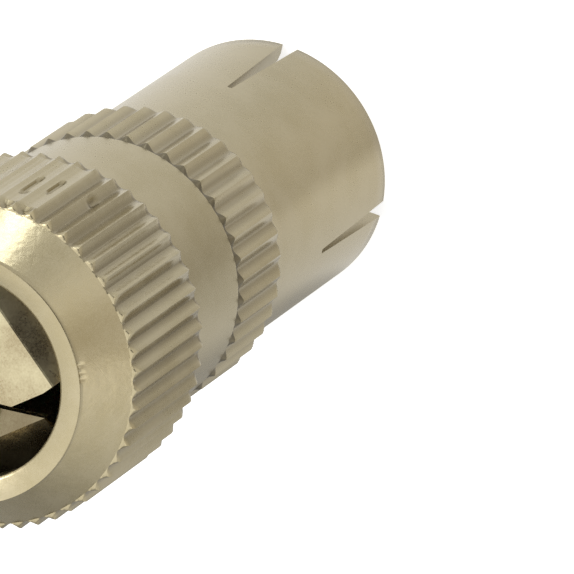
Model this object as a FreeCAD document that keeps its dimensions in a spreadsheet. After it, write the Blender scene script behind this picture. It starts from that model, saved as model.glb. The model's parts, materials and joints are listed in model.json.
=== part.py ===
"""Female in-line coaxial TV connector with a screwed cable clamp, as a parametric document.

The axis of the connector is +Z. It stands on the front rim of its slotted sleeve, at z = 0, with the
clamping nut on top, and +X passes through the middle of one slot. Lengths are in millimetres and
angles in degrees.
"""
import FreeCAD, Part
import math
import os
import re

import Sketcher

SHELL_SIZES = [
    ("sleeve_radius", 5.5, "outside of the slotted sleeve"),
    ("sleeve_wall", 0.7, "the bore takes a plug of 9.5 mm"),
    ("sleeve_length", 11.9, "front rim to the knurled ring"),
    ("mouth_lead", 0.25, "bevel inside the front rim"),
    ("socket_depth", 11.0, "front rim to the inner flange"),
    ("flange_length", 1.0, "inner flange, along the axis"),
    ("flange_height", 1.25, "inner flange, from the chamber in to its hole"),
    ("slot_count", 4, "slots round the sleeve"),
    ("slot_mouth", 0.7, "slot width at the rim"),
    ("slot_end", 0.2, "slot width at its closed end"),
    ("slot_length", 6.5, "slot, along the axis"),
    ("ring_rise", 0.55, "crests of the knurled ring above the sleeve"),
    ("ring_length", 4.45, "knurled ring, along the axis"),
    ("ring_slope", 0.6, "slope from the sleeve up to the ring"),
    ("groove_count", 42, "grooves round the ring"),
    ("groove_width", 0.64, "groove, across its mouth"),
    ("groove_floor_width", 0.24, "groove, across its floor"),
    ("groove_depth", 0.32, "groove below the crests"),
    ("groove_setback", 0.35, "start of the ring to the front end of a groove"),
    ("groove_overrun", 0.12, "groove past the ring, into the neck"),
    ("ring_step", 0.18, "neck below the crests of the ring"),
    ("neck_taper", 0.15, "how much thinner the neck is at the nut"),
    ("neck_length", 6.3, "ring to the threaded tail"),
    ("neck_step", 0.47, "tail's thread below the neck"),
    ("tail_length", 4.7, "threaded tail, along the axis"),
    ("tail_bevel", 0.25, "lead at the end of the thread"),
    ("tail_wall", 0.75, "outside of the tail's thread to the chamber"),
]
NUT_SIZES = [
    ("nut_lap", 0.3, "nut over the end of the neck"),
    ("nut_wall", 1.15, "nut's thread to the valleys between its ridges"),
    ("ridge_count", 54, "ridges round the nut"),
    ("ridge_height", 0.4, "crest above the valley"),
    ("ridge_sink", 0.1, "foot of a ridge, sunk into the nut"),
    ("ridge_foot_width", 0.74, "ridge, across its foot"),
    ("ridge_shoulder_width", 0.54, "ridge, across its shoulders"),
    ("ridge_shoulder_drop", 0.13, "shoulders below the crest"),
    ("ridge_crest_width", 0.22, "flat crest of a ridge, across"),
    ("ridge_length", 6.65, "ridges, along the axis"),
    ("ridge_bevel", 0.3, "bevel at the front of the ridges"),
    ("cone_length", 2.0, "rear cone, along the axis"),
    ("cone_fall", 1.33, "how far the rear cone draws in"),
    ("rim_width", 0.84, "flat rear rim, radial"),
    ("face_dish", 0.15, "fall of the rear rim towards the cable hole"),
    ("hole_edge", 0.1, "bevel of the cable hole"),
    ("hole_length", 0.8, "straight wall of the cable hole"),
    ("squeeze_length", 1.5, "inner cone that presses the clamp, along the axis"),
    ("mouth_clearance", 0.28, "nut's plain mouth to the neck, radial"),
    ("nut_mouth_depth", 1.2, "plain mouth, along the axis"),
    ("thread_clearance", 0.05, "nut to tail, radial, at the thread"),
]
CLAMP_SIZES = [
    ("clamp_sheet", 0.4, "sheet that the clamp is stamped from"),
    ("collar_clearance", 0.15, "collar to the nut's bore, radial"),
    ("collar_wall", 0.5, "rolled collar, radial"),
    ("collar_height", 0.9, "collar behind the tail"),
    ("spigot_clearance", 0.1, "spigot to the chamber, radial"),
    ("spigot_length", 2.4, "spigot inside the tail"),
    ("claw_recess", 0.15, "claws below the straight wall of the cable hole"),
    ("bend_inset", 0.11, "inner corner of a bend, back from its outer corner"),
    ("root_drop", 0.13, "underside of a claw below the collar's rim, at its root"),
    ("tongue_set_in", 1.73, "wall of the cable hole to the fold of a wide claw"),
    ("tongue_side_room", 1.91, "radius of the cable hole less half of a wide claw"),
    ("tongue_square", 0.5, "fold to where a wide claw starts to narrow"),
    ("tongue_narrowing", 0.27, "how far each side of a wide claw draws in"),
    ("tongue_tip", 0.15, "axis to the tip of a wide claw"),
    ("tongue_corner", 0.4, "cut corner at the tip of a wide claw"),
    ("tooth_set_in", 1.33, "wall of the cable hole to the fold of a pointed claw"),
    ("tooth_half_width", 1.8, "half of a pointed claw, at its fold"),
    ("tooth_length", 1.1, "pointed claw, fold to tip"),
    ("tooth_point", 0.1, "half width of a pointed claw's tip"),
    ("tooth_gap", 0.05, "pointed claws below the wide ones"),
    ("claw_turn", 140.6, "wide claws, turned from +X"),
    ("tooth_turn", 100.0, "pointed claws, turned from the wide ones"),
]
CONTACT_SIZES = [
    ("insulator_clearance", 0.03, "insulator to the shell, radial"),
    ("insulator_length", 3.0, "insulator behind the inner flange"),
    ("contact_setback", 2.0, "front rim to the tip of the contact"),
    ("contact_radius", 1.7, "outside of the contact's tube"),
    ("contact_clearance", 0.02, "contact to the insulator, radial"),
    ("pin_bore_radius", 1.2, "bore that takes the plug's pin"),
    ("pin_bore_depth", 9.0, "depth of that bore"),
    ("contact_lead", 0.2, "bevel inside the contact's mouth"),
    ("leaf_slot", 0.35, "slot that parts the contact's two leaves"),
    ("leaf_length", 6.0, "that slot, along the axis"),
    ("block_radius", 2.3, "terminal block behind the insulator"),
    ("block_length", 5.5, "terminal block, along the axis"),
    ("wire_radius", 0.6, "hole for the cable's core"),
    ("wire_depth", 4.6, "that hole, along the axis"),
    ("screw_radius", 0.8, "shank of the terminal screw"),
    ("screw_clearance", 0.03, "screw to its hole, radial"),
    ("screw_reach", 1.35, "shank below the head"),
    ("head_radius", 1.45, "head of the terminal screw"),
    ("head_height", 0.8, "head, along the screw"),
    ("head_slot", 0.35, "driver slot across the head"),
    ("head_slot_depth", 0.4, "depth of the driver slot"),
    ("seat_depth", 0.3, "spot face below the block's surface"),
    ("seat_margin", 0.1, "spot face beyond the head, radial"),
]
SIZES = SHELL_SIZES + NUT_SIZES + CLAMP_SIZES + CONTACT_SIZES
SIZE = {name: value for name, value, note in SIZES}

# Radii and places along the axis, worked out from the sizes above
PLACES = {
    "ring_radius": "sleeve_radius + ring_rise",
    "neck_radius": "ring_radius - ring_step",
    "thread_radius": "neck_radius - neck_step",
    "chamber_radius": "thread_radius - tail_wall",
    "flange_bore_radius": "chamber_radius - flange_height",
    "nut_thread_radius": "thread_radius + thread_clearance",
    "nut_mouth_radius": "neck_radius + mouth_clearance",
    "valley_radius": "nut_thread_radius + nut_wall",
    "nut_radius": "valley_radius + ridge_height",
    "face_radius": "valley_radius - cone_fall",
    "hole_radius": "face_radius - rim_width - hole_edge",
    "collar_radius": "nut_thread_radius - collar_clearance",
    "spigot_radius": "chamber_radius - spigot_clearance",
    "tongue_fold": "hole_radius - tongue_set_in",
    "tongue_half_width": "hole_radius - tongue_side_room",
    "tooth_fold": "hole_radius - tooth_set_in",
    "flange_back": "socket_depth + flange_length",
    "insulator_back": "flange_back + insulator_length",
    "screw_axis": "insulator_back + block_length / 2",
    "ring_back": "sleeve_length + ring_length",
    "neck_back": "ring_back + neck_length",
    "tail_back": "neck_back + tail_length",
    "collar_back": "tail_back + collar_height",
    "nut_front": "neck_back - nut_lap",
    "ridge_back": "nut_front + ridge_length",
    "nut_back": "ridge_back + cone_length",
    "hole_back": "nut_back - face_dish - hole_edge",
    "hole_front": "hole_back - hole_length",
    "squeeze_front": "hole_front - squeeze_length",
    "tongue_back": "hole_front - claw_recess",
    "tooth_back": "tongue_back - clamp_sheet - tooth_gap",
}
WORD = r"[a-z_]+"

DOC = FreeCAD.newDocument("LineSocket")
Z_DIRECTION = FreeCAD.Vector(0, 0, 1)
UPRIGHT = FreeCAD.Rotation(FreeCAD.Vector(1, 0, 0), 90)
ORIGIN_POINT = (-1, 1)
CENTRE = 3


def make_sheet():
    """One row for each size: its alias, its plain number and what it is."""
    sheet = DOC.addObject("Spreadsheet::Sheet", "Sizes")
    for row, (name, value, note) in enumerate(SIZES, start=1):
        sheet.set(f"A{row}", name)
        sheet.set(f"B{row}", str(value))
        sheet.set(f"C{row}", note)
        sheet.setAlias(f"B{row}", name)
    DOC.recompute()


def cells(formula):
    """The formula as an expression of the document: places are opened up, sizes read from the sheet."""
    while any(word in PLACES for word in re.findall(WORD, formula)):
        formula = re.sub(WORD, lambda found: f"({PLACES[found[0]]})" if found[0] in PLACES else found[0], formula)
    return re.sub(WORD, lambda found: f"Sizes.{found[0]}", formula)


def bind(item, path, formula):
    """Tie one property of an object to the sheet."""
    item.setExpression(path, cells(formula))


def origin_part(body, role):
    """One of the body's own planes or axes."""
    return next(part for part in body.Origin.OriginFeatures if part.Role == role)


def body_sketch(body, name, plane, along_normal=None):
    """A sketch on one of the body's origin planes, shifted off it where a formula says so."""
    sketch = body.newObject("Sketcher::SketchObject", name)
    sketch.AttachmentSupport = [(origin_part(body, plane), "")]
    sketch.MapMode = "FlatFace"
    if along_normal:
        bind(sketch, "AttachmentOffset.Base.z", along_normal)
    return sketch


def fix(sketch, kind, formula, *place):
    """A dimension that reads the sheet."""
    number = sketch.addConstraint(Sketcher.Constraint(kind, *place, 1.0))
    bind(sketch, f"Constraints[{number}]", formula)


def draw_outline(sketch, corners):
    """A closed outline of straight edges; each corner is a pair of formulas."""
    count = len(corners)
    ring = [FreeCAD.Vector(math.cos(math.tau * step / count), math.sin(math.tau * step / count), 0)
            for step in range(count)]
    for step in range(count):
        sketch.addGeometry(Part.LineSegment(ring[step], ring[(step + 1) % count]), False)
    for step in range(count):
        sketch.addConstraint(Sketcher.Constraint("Coincident", step, 2, (step + 1) % count, 1))
    for step, (across, up) in enumerate(corners):
        fix(sketch, "DistanceX", across, *ORIGIN_POINT, step, 1)
        fix(sketch, "DistanceY", up, *ORIGIN_POINT, step, 1)


def draw_circle(sketch, radius, across, up="0"):
    """One circle, its centre and radius from formulas."""
    sketch.addGeometry(Part.Circle(FreeCAD.Vector(1, 1, 0), Z_DIRECTION, 0.5), False)
    fix(sketch, "Radius", radius, 0)
    fix(sketch, "DistanceX", across, *ORIGIN_POINT, 0, CENTRE)
    fix(sketch, "DistanceY", up, *ORIGIN_POINT, 0, CENTRE)


def turn_body(name, corners):
    """A body that starts as a turned blank: the outline, revolved about Z."""
    body = DOC.addObject("PartDesign::Body", name)
    body.Label = name
    sketch = body_sketch(body, name + "_profile", "XZ_Plane")
    draw_outline(sketch, corners)
    blank = body.newObject("PartDesign::Revolution", name + "_turned")
    blank.Profile = sketch
    blank.ReferenceAxis = (origin_part(body, "Z_Axis"), [""])
    blank.Angle = 360
    return body


def turned_cut(body, name, corners):
    """A ring cut out of the body: the outline, revolved about Z."""
    sketch = body_sketch(body, name + "_profile", "XZ_Plane")
    draw_outline(sketch, corners)
    cut = body.newObject("PartDesign::Groove", name)
    cut.Profile = sketch
    cut.ReferenceAxis = (origin_part(body, "Z_Axis"), [""])
    cut.Angle = 360


def pocket(body, name, sketch, depth, both_ways=False):
    """A pocket from the sketch, along its normal, or to both sides of it."""
    cut = body.newObject("PartDesign::Pocket", name)
    cut.Profile = sketch
    cut.Reversed = True
    cut.Midplane = both_ways
    bind(cut, "Length", depth)
    return cut


def repeat_round(body, name, feature, count):
    """Equal copies of a feature about Z."""
    pattern = body.newObject("PartDesign::PolarPattern", name)
    pattern.Originals = [feature]
    pattern.Axis = (origin_part(body, "Z_Axis"), [""])
    pattern.Angle = 360
    bind(pattern, "Occurrences", count)
    body.Tip = pattern


def make_front_shell():
    """Slotted sleeve, knurled ring, neck and threaded tail: one casting."""
    shell = turn_body("front_shell", [
        ("sleeve_radius - sleeve_wall + mouth_lead", "0"),
        ("sleeve_radius", "0"),
        ("sleeve_radius", "sleeve_length"),
        ("ring_radius", "sleeve_length + ring_slope"),
        ("ring_radius", "ring_back"),
        ("neck_radius", "ring_back"),
        ("neck_radius - neck_taper", "neck_back"),
        ("thread_radius", "neck_back"),
        ("thread_radius", "tail_back - tail_bevel"),
        ("thread_radius - tail_bevel", "tail_back"),
        ("chamber_radius", "tail_back"),
        ("chamber_radius", "flange_back"),
        ("flange_bore_radius", "flange_back"),
        ("flange_bore_radius", "socket_depth"),
        ("sleeve_radius - sleeve_wall", "socket_depth"),
        ("sleeve_radius - sleeve_wall", "mouth_lead"),
    ])
    section = body_sketch(shell, "groove_section", "XY_Plane", along_normal="sleeve_length + groove_setback")
    draw_outline(section, [
        ("ring_radius - groove_depth", "-groove_floor_width / 2"),
        ("ring_radius", "-groove_width / 2"),
        ("ring_radius + groove_depth", "-groove_width / 2"),
        ("ring_radius + groove_depth", "groove_width / 2"),
        ("ring_radius", "groove_width / 2"),
        ("ring_radius - groove_depth", "groove_floor_width / 2"),
    ])
    groove = pocket(shell, "groove", section, "ring_length - groove_setback + groove_overrun")
    repeat_round(shell, "grooves", groove, "groove_count")

    wedge = body_sketch(shell, "slot_outline", "YZ_Plane")
    draw_outline(wedge, [
        ("-slot_mouth / 2", "0"),
        ("slot_mouth / 2", "0"),
        ("slot_end / 2", "slot_length"),
        ("-slot_end / 2", "slot_length"),
    ])
    slot = pocket(shell, "slot", wedge, "sleeve_radius * 2")
    repeat_round(shell, "slots", slot, "slot_count")
    return shell


def make_rear_nut():
    """Knurled clamping nut: ridges outside, a thread bore and a squeezing cone inside."""
    nut = turn_body("rear_nut", [
        ("nut_mouth_radius", "nut_front"),
        ("valley_radius", "nut_front"),
        ("valley_radius", "ridge_back"),
        ("face_radius", "nut_back"),
        ("hole_radius + hole_edge", "nut_back - face_dish"),
        ("hole_radius", "hole_back"),
        ("hole_radius", "hole_front"),
        ("nut_thread_radius", "squeeze_front"),
        ("nut_thread_radius", "nut_front + nut_mouth_depth"),
        ("nut_mouth_radius", "nut_front + nut_mouth_depth"),
    ])
    section = body_sketch(nut, "ridge_section", "XY_Plane", along_normal="nut_front")
    draw_outline(section, [
        ("valley_radius - ridge_sink", "ridge_foot_width / 2"),
        ("valley_radius - ridge_sink", "-ridge_foot_width / 2"),
        ("nut_radius - ridge_shoulder_drop", "-ridge_shoulder_width / 2"),
        ("nut_radius", "-ridge_crest_width / 2"),
        ("nut_radius", "ridge_crest_width / 2"),
        ("nut_radius - ridge_shoulder_drop", "ridge_shoulder_width / 2"),
    ])
    ridge = nut.newObject("PartDesign::Pad", "ridge")
    ridge.Profile = section
    bind(ridge, "Length", "ridge_length")
    repeat_round(nut, "ridges", ridge, "ridge_count")
    turned_cut(nut, "ridge_bevels", [
        ("nut_radius - ridge_bevel", "nut_front - ridge_bevel"),
        ("nut_radius * 2", "nut_front - ridge_bevel"),
        ("nut_radius * 2", "nut_front + ridge_bevel"),
        ("nut_radius", "nut_front + ridge_bevel"),
        ("nut_radius - ridge_bevel", "nut_front"),
    ])
    return nut


def free_sketch(name, upright):
    """A sketch that stands in the XZ plane, or lies in the XY plane."""
    sketch = DOC.addObject("Sketcher::SketchObject", name)
    if upright:
        sketch.Placement = FreeCAD.Placement(FreeCAD.Vector(), UPRIGHT)
    return sketch


def extrude(name, sketch, length, both_ways):
    """A prism on a free sketch."""
    prism = DOC.addObject("Part::Extrusion", name)
    prism.Base = sketch
    prism.DirMode = "Normal"
    prism.Solid = True
    prism.Symmetric = both_ways
    bind(prism, "LengthFwd", length)
    return prism


def make_claw(name, turn, fold, tip, back, half_width, plan):
    """One stamped claw: its bent section, as wide as the plan, trimmed to the plan and to the collar."""
    section = free_sketch(name + "_section", upright=True)
    draw_outline(section, [
        ("collar_radius", "collar_back - clamp_sheet"),
        ("collar_radius", "collar_back"),
        (fold, back),
        (tip, back),
        (tip, back + " - clamp_sheet"),
        (fold + " - bend_inset", back + " - clamp_sheet"),
        ("collar_radius - collar_wall", "collar_back - root_drop"),
        ("collar_radius - collar_wall", "collar_back - clamp_sheet"),
    ])
    strip = extrude(name + "_strip", section, f"({half_width}) * 2", both_ways=True)
    outline = free_sketch(name + "_plan", upright=False)
    draw_outline(outline, plan)
    blank = extrude(name + "_blank", outline, "nut_back", both_ways=False)
    reach = DOC.addObject("Part::Cylinder", name + "_reach")
    bind(reach, "Radius", "collar_radius")
    bind(reach, "Height", "nut_back")
    claw = DOC.addObject("Part::MultiCommon", name)
    claw.Shapes = [strip, blank, reach]
    claw.Placement = FreeCAD.Placement(FreeCAD.Vector(), FreeCAD.Rotation(Z_DIRECTION, turn))
    return claw


def make_cable_clamp():
    """Stamped clamp: a rolled collar with a spigot, two wide claws and two pointed ones folded inwards."""
    collar_section = free_sketch("collar_section", upright=True)
    draw_outline(collar_section, [
        ("spigot_radius - clamp_sheet", "tail_back - spigot_length"),
        ("spigot_radius", "tail_back - spigot_length"),
        ("spigot_radius", "tail_back"),
        ("collar_radius", "tail_back"),
        ("collar_radius", "collar_back"),
        ("collar_radius - collar_wall", "collar_back"),
        ("collar_radius - collar_wall", "tail_back + clamp_sheet"),
        ("spigot_radius - clamp_sheet", "tail_back + clamp_sheet"),
    ])
    collar = DOC.addObject("Part::Revolution", "collar")
    collar.Source = collar_section
    collar.Axis = Z_DIRECTION
    collar.Base = FreeCAD.Vector()
    collar.Angle = 360
    collar.Solid = True
    tongue_plan = [
        ("thread_radius", "-(tongue_half_width)"),
        ("thread_radius", "tongue_half_width"),
        ("tongue_fold - tongue_square", "tongue_half_width"),
        ("tongue_tip + tongue_corner", "tongue_half_width - tongue_narrowing"),
        ("tongue_tip", "tongue_half_width - tongue_narrowing - tongue_corner"),
        ("tongue_tip", "tongue_corner + tongue_narrowing - tongue_half_width"),
        ("tongue_tip + tongue_corner", "tongue_narrowing - tongue_half_width"),
        ("tongue_fold - tongue_square", "-(tongue_half_width)"),
    ]
    tooth_plan = [
        ("thread_radius", "-tooth_half_width"),
        ("thread_radius", "tooth_half_width"),
        ("tooth_fold", "tooth_half_width"),
        ("tooth_fold - tooth_length", "tooth_point"),
        ("tooth_fold - tooth_length", "-tooth_point"),
        ("tooth_fold", "-tooth_half_width"),
    ]
    claws = []
    for side in range(2):
        tongue_turn = SIZE["claw_turn"] + 180 * side
        tooth_turn = tongue_turn - SIZE["tooth_turn"]
        claws.append(make_claw(f"tongue_{side}", tongue_turn, "tongue_fold", "tongue_tip", "tongue_back",
                               "tongue_half_width", tongue_plan))
        claws.append(make_claw(f"tooth_{side}", tooth_turn, "tooth_fold", "tooth_fold - tooth_length", "tooth_back",
                               "tooth_half_width", tooth_plan))
    clamp = DOC.addObject("Part::MultiFuse", "cable_clamp")
    clamp.Label = "cable_clamp"
    clamp.Shapes = [collar] + claws
    return clamp


def make_insulator():
    """Moulded disc that centres the contact, with a boss through the inner flange."""
    return turn_body("insulator", [
        ("contact_radius + contact_clearance", "socket_depth"),
        ("flange_bore_radius - insulator_clearance", "socket_depth"),
        ("flange_bore_radius - insulator_clearance", "flange_back"),
        ("chamber_radius - insulator_clearance", "flange_back"),
        ("chamber_radius - insulator_clearance", "insulator_back"),
        ("contact_radius + contact_clearance", "insulator_back"),
    ])


def make_centre_contact():
    """Turned female contact: a split tube in front, a terminal block with a screw hole behind."""
    contact = turn_body("centre_contact", [
        ("0", "contact_setback + pin_bore_depth"),
        ("pin_bore_radius", "contact_setback + pin_bore_depth"),
        ("pin_bore_radius", "contact_setback + contact_lead"),
        ("pin_bore_radius + contact_lead", "contact_setback"),
        ("contact_radius", "contact_setback"),
        ("contact_radius", "insulator_back"),
        ("block_radius", "insulator_back"),
        ("block_radius", "insulator_back + block_length"),
        ("wire_radius", "insulator_back + block_length"),
        ("wire_radius", "insulator_back + block_length - wire_depth"),
        ("0", "insulator_back + block_length - wire_depth"),
    ])
    split = body_sketch(contact, "leaf_outline", "YZ_Plane")
    draw_outline(split, [
        ("-leaf_slot / 2", "contact_setback - contact_lead"),
        ("leaf_slot / 2", "contact_setback - contact_lead"),
        ("leaf_slot / 2", "contact_setback + leaf_length"),
        ("-leaf_slot / 2", "contact_setback + leaf_length"),
    ])
    pocket(contact, "leaf_slot_cut", split, "contact_radius * 4", both_ways=True)
    spot = body_sketch(contact, "seat_outline", "YZ_Plane", along_normal="block_radius - seat_depth")
    draw_circle(spot, "head_radius + seat_margin", "0", "screw_axis")
    pocket(contact, "screw_seat", spot, "block_radius")
    drill = body_sketch(contact, "screw_hole_outline", "YZ_Plane")
    draw_circle(drill, "screw_radius + screw_clearance", "0", "screw_axis")
    pocket(contact, "screw_hole", drill, "block_radius * 2")
    return contact


def make_contact_screw():
    """Slotted terminal screw, turned along Z and laid down along X, its head on the spot face."""
    screw = turn_body("contact_screw", [
        ("0", "-screw_reach"),
        ("screw_radius", "-screw_reach"),
        ("screw_radius", "0"),
        ("head_radius", "0"),
        ("head_radius", "head_height"),
        ("0", "head_height"),
    ])
    cross = body_sketch(screw, "driver_outline", "XZ_Plane")
    draw_outline(cross, [
        ("-head_slot / 2", "head_height - head_slot_depth"),
        ("head_slot / 2", "head_height - head_slot_depth"),
        ("head_slot / 2", "head_height * 2"),
        ("-head_slot / 2", "head_height * 2"),
    ])
    pocket(screw, "driver_slot", cross, "head_radius * 4", both_ways=True)
    screw.Placement = FreeCAD.Placement(FreeCAD.Vector(), FreeCAD.Rotation(FreeCAD.Vector(0, 1, 0), 90))
    bind(screw, "Placement.Base.x", "block_radius - seat_depth")
    bind(screw, "Placement.Base.z", "screw_axis")
    return screw


def check_objects():
    """Stop on any object that failed to compute."""
    failed = [item.Name for item in DOC.Objects if "Invalid" in item.State or "Error" in item.State]
    if failed:
        raise RuntimeError(f"failed: {', '.join(failed)}")


def check_cuts():
    """Every pocket, groove, pad and pattern has changed the volume of its body."""
    for body in DOC.findObjects("PartDesign::Body"):
        solids = [item for item in body.Group if item.isDerivedFrom("PartDesign::Feature")]
        for earlier, later in zip(solids, solids[1:]):
            change = later.Shape.Volume - earlier.Shape.Volume
            print(f"{body.Label} {later.Name}: {change:+.3f} mm3")
            if abs(change) < 0.001:
                raise RuntimeError(f"{later.Name} changes nothing on {body.Label}")


def check_and_export(nodes):
    """Stop on a bad shape, then write one file for each node."""
    for node in nodes:
        if node.Shape.isNull() or not node.Shape.isValid():
            raise RuntimeError(f"{node.Label} has no sound shape")
    os.makedirs("parts", exist_ok=True)
    for node in nodes:
        box = node.Shape.BoundBox
        print(f"{node.Label}: {len(node.Shape.Solids)} solid, {node.Shape.Volume:.2f} mm3, "
              f"z {box.ZMin:.2f} to {box.ZMax:.2f}, {len(node.Shape.Faces)} faces")
        node.Shape.exportStep(f"parts/{node.Label}.step")


make_sheet()
NODES = [
    make_front_shell(),
    make_rear_nut(),
    make_cable_clamp(),
    make_insulator(),
    make_centre_contact(),
    make_contact_screw(),
]
DOC.recompute()
check_objects()
check_cuts()
check_and_export(NODES)
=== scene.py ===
"""Looks of the in-line coaxial TV connector: a slotted shell, a knurled clamping nut and a cable clamp.

Sizes in the classes are millimetres and degrees; Blender's own unit is the metre, so every length is
multiplied by MM where it reaches Blender. The connector stands on the rim of its slotted sleeve, its
axis is +Z, and +X passes through the middle of one slot.
"""

import json
import logging
import math
import random
from dataclasses import dataclass
from enum import Enum
from typing import Callable, Sequence

import bmesh
import bpy
from mathutils import Matrix, Vector

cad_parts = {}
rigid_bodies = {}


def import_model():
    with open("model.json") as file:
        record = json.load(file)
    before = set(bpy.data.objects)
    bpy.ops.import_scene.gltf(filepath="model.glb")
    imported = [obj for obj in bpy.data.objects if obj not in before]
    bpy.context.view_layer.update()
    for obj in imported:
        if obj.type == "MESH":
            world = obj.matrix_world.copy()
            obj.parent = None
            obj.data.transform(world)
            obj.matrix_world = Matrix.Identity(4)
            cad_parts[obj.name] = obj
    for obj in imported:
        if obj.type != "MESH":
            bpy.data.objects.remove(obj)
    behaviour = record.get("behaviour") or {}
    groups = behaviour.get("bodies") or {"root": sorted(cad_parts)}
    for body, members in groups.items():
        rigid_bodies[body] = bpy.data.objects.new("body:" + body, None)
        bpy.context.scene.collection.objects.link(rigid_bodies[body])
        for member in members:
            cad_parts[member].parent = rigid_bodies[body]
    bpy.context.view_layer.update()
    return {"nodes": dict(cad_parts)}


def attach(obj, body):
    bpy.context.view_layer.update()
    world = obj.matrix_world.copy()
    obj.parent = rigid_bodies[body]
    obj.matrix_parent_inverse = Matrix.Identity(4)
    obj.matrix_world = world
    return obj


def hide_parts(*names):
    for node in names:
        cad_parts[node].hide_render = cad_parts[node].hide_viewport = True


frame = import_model()

MM = 0.001
WELD = 0.001
ROW_REACH = 0.004
COLUMN_REACH = 0.2
SEED = 41
LOG = logging.getLogger("line_socket")

Outline = list[tuple[float, float]]
Pairs = tuple[tuple[float, float], ...]
Colour = tuple[float, float, float]


class Body(Enum):
    """The moving bodies that pieces ride on."""

    SHELL = "shell"
    CLAMP = "clamp"
    NUT = "nut"


class Slot(Enum):
    """Names of the record's material slots; the new pieces don't use them."""

    SHELL = "nickel_shell"
    NUT = "nickel_nut"
    CLAMP = "clamp_sheet"


# The bench: steps that shape a mesh


def take_up(item: bpy.types.Object) -> None:
    """Select one object alone and make it the active one.

    Args:
        item: The object.
    """
    bpy.ops.object.select_all(action="DESELECT")
    item.select_set(True)
    bpy.context.view_layer.objects.active = item


def select_points(item: bpy.types.Object, wanted: Callable[[Vector], bool]) -> int:
    """Select the points of a mesh in edit mode that a test on their place lets through.

    Args:
        item: The piece.
        wanted: The test, on a place in millimetres.

    Returns:
        How many points are selected.
    """
    bpy.ops.mesh.select_all(action="DESELECT")
    mesh = bmesh.from_edit_mesh(item.data)
    picked = 0
    for point in mesh.verts:
        if wanted(point.co / MM):
            point.select = True
            picked += 1
    mesh.select_flush(True)
    bmesh.update_edit_mesh(item.data)
    return picked


def scale_out(ratio: float) -> None:
    """Move the selected points away from the axis, or towards it."""
    bpy.ops.transform.resize(value=(ratio, ratio, 1.0), center_override=(0.0, 0.0, 0.0))


def weld_all() -> None:
    """Join the points that meet, in edit mode, and turn the faces outwards."""
    bpy.ops.mesh.select_all(action="SELECT")
    bpy.ops.mesh.remove_doubles(threshold=WELD * MM)
    bpy.ops.mesh.normals_make_consistent(inside=False)


def shade(crease: float) -> None:
    """Shade the selected piece smooth; edges sharper than the crease, in degrees, stay hard."""
    bpy.ops.object.shade_smooth_by_angle(angle=math.radians(crease))


def apply_all(item: bpy.types.Object) -> None:
    """Apply every modifier of a piece, in order.

    Args:
        item: The piece.
    """
    bpy.context.view_layer.objects.active = item
    for modifier in list(item.modifiers):
        bpy.ops.object.modifier_apply(modifier=modifier.name)


def cut_away(item: bpy.types.Object, tool: bpy.types.Object) -> None:
    """Cut one mesh out of another and throw the tool away.

    Args:
        item: The piece that is cut.
        tool: The mesh that is taken out of it.
    """
    take_up(item)
    cut = item.modifiers.new("cut", "BOOLEAN")
    cut.operation = "DIFFERENCE"
    cut.solver = "EXACT"
    cut.object = tool
    apply_all(item)
    bpy.data.objects.remove(tool, do_unlink=True)


def dress(item: bpy.types.Object, material: bpy.types.Material, body: Body) -> None:
    """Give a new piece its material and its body.

    Args:
        item: The piece.
        material: What it is made of.
        body: The moving body that it rides on.
    """
    item.data.materials.clear()
    item.data.materials.append(material)
    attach(item, body.value)
    LOG.info("%s: %d points, rides on %s", item.name, len(item.data.vertices), body.value)


def refinish(node: str, material: bpy.types.Material) -> None:
    """Give a node that keeps its shape a better material.

    Args:
        node: Name of the node.
        material: Its new material.
    """
    for place in frame["nodes"][node].material_slots:
        place.material = material
    LOG.info("%s: keeps its shape", node)


class Workpiece:
    """A mesh that is turned from a ring of points and then worked on in edit mode."""

    def __init__(self, name: str, columns: int, start: tuple[float, float]) -> None:
        """Lay down the first ring.

        Args:
            name: Name of the object.
            columns: Points round the ring.
            start: Radius and height of the ring.
        """
        radius, height = start
        bpy.ops.object.select_all(action="DESELECT")
        bpy.ops.mesh.primitive_circle_add(vertices=columns, radius=radius * MM)
        self.item = bpy.context.object
        self.item.name = name
        self.item.data.name = name
        self.last = start
        bpy.ops.object.mode_set(mode="EDIT")
        bpy.ops.mesh.select_all(action="SELECT")
        bpy.ops.transform.translate(value=(0.0, 0.0, height * MM))

    def turn(self, outline: Outline) -> None:
        """Draw the wall along an outline that ends where the first ring lies, and close it.

        Args:
            outline: Radius and height of each next ring.
        """
        for radius, height in outline:
            rise = (height - self.last[1]) * MM
            bpy.ops.mesh.extrude_edges_move(TRANSFORM_OT_translate={"value": (0.0, 0.0, rise)})
            scale_out(radius / self.last[0])
            self.last = (radius, height)
        weld_all()

    def pick(self, wanted: Callable[[Vector], bool]) -> int:
        """Select the points that a test on their place, in millimetres, lets through."""
        return select_points(self.item, wanted)

    def done(self, crease: float) -> bpy.types.Object:
        """Leave edit mode and shade the piece smooth.

        Args:
            crease: Edges sharper than this many degrees stay hard.

        Returns:
            The finished object.
        """
        bpy.ops.object.mode_set(mode="OBJECT")
        shade(crease)
        return self.item


def bearing(place: Vector) -> float:
    """Degrees from +X to a point, seen from above."""
    return math.degrees(math.atan2(place.y, place.x))


def outward(azimuth: float, elevation: float) -> Vector:
    """The direction at an azimuth from +X and an elevation above the floor, in degrees."""
    turn, rise = math.radians(azimuth), math.radians(elevation)
    return Vector((math.cos(turn) * math.cos(rise), math.sin(turn) * math.cos(rise), math.sin(rise)))


def flute(share: float) -> float:
    """Depth of a flute across its width.

    Args:
        share: Share of its half width, from its middle.

    Returns:
        1 in the middle, 0 at a narrow rounded crest.
    """
    softness = 0.45
    soft = 0.5 + 0.5 * math.cos(math.pi * share)
    hollow = 1.0 - share ** 1.5
    return softness * soft + (1.0 - softness) * hollow


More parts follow.
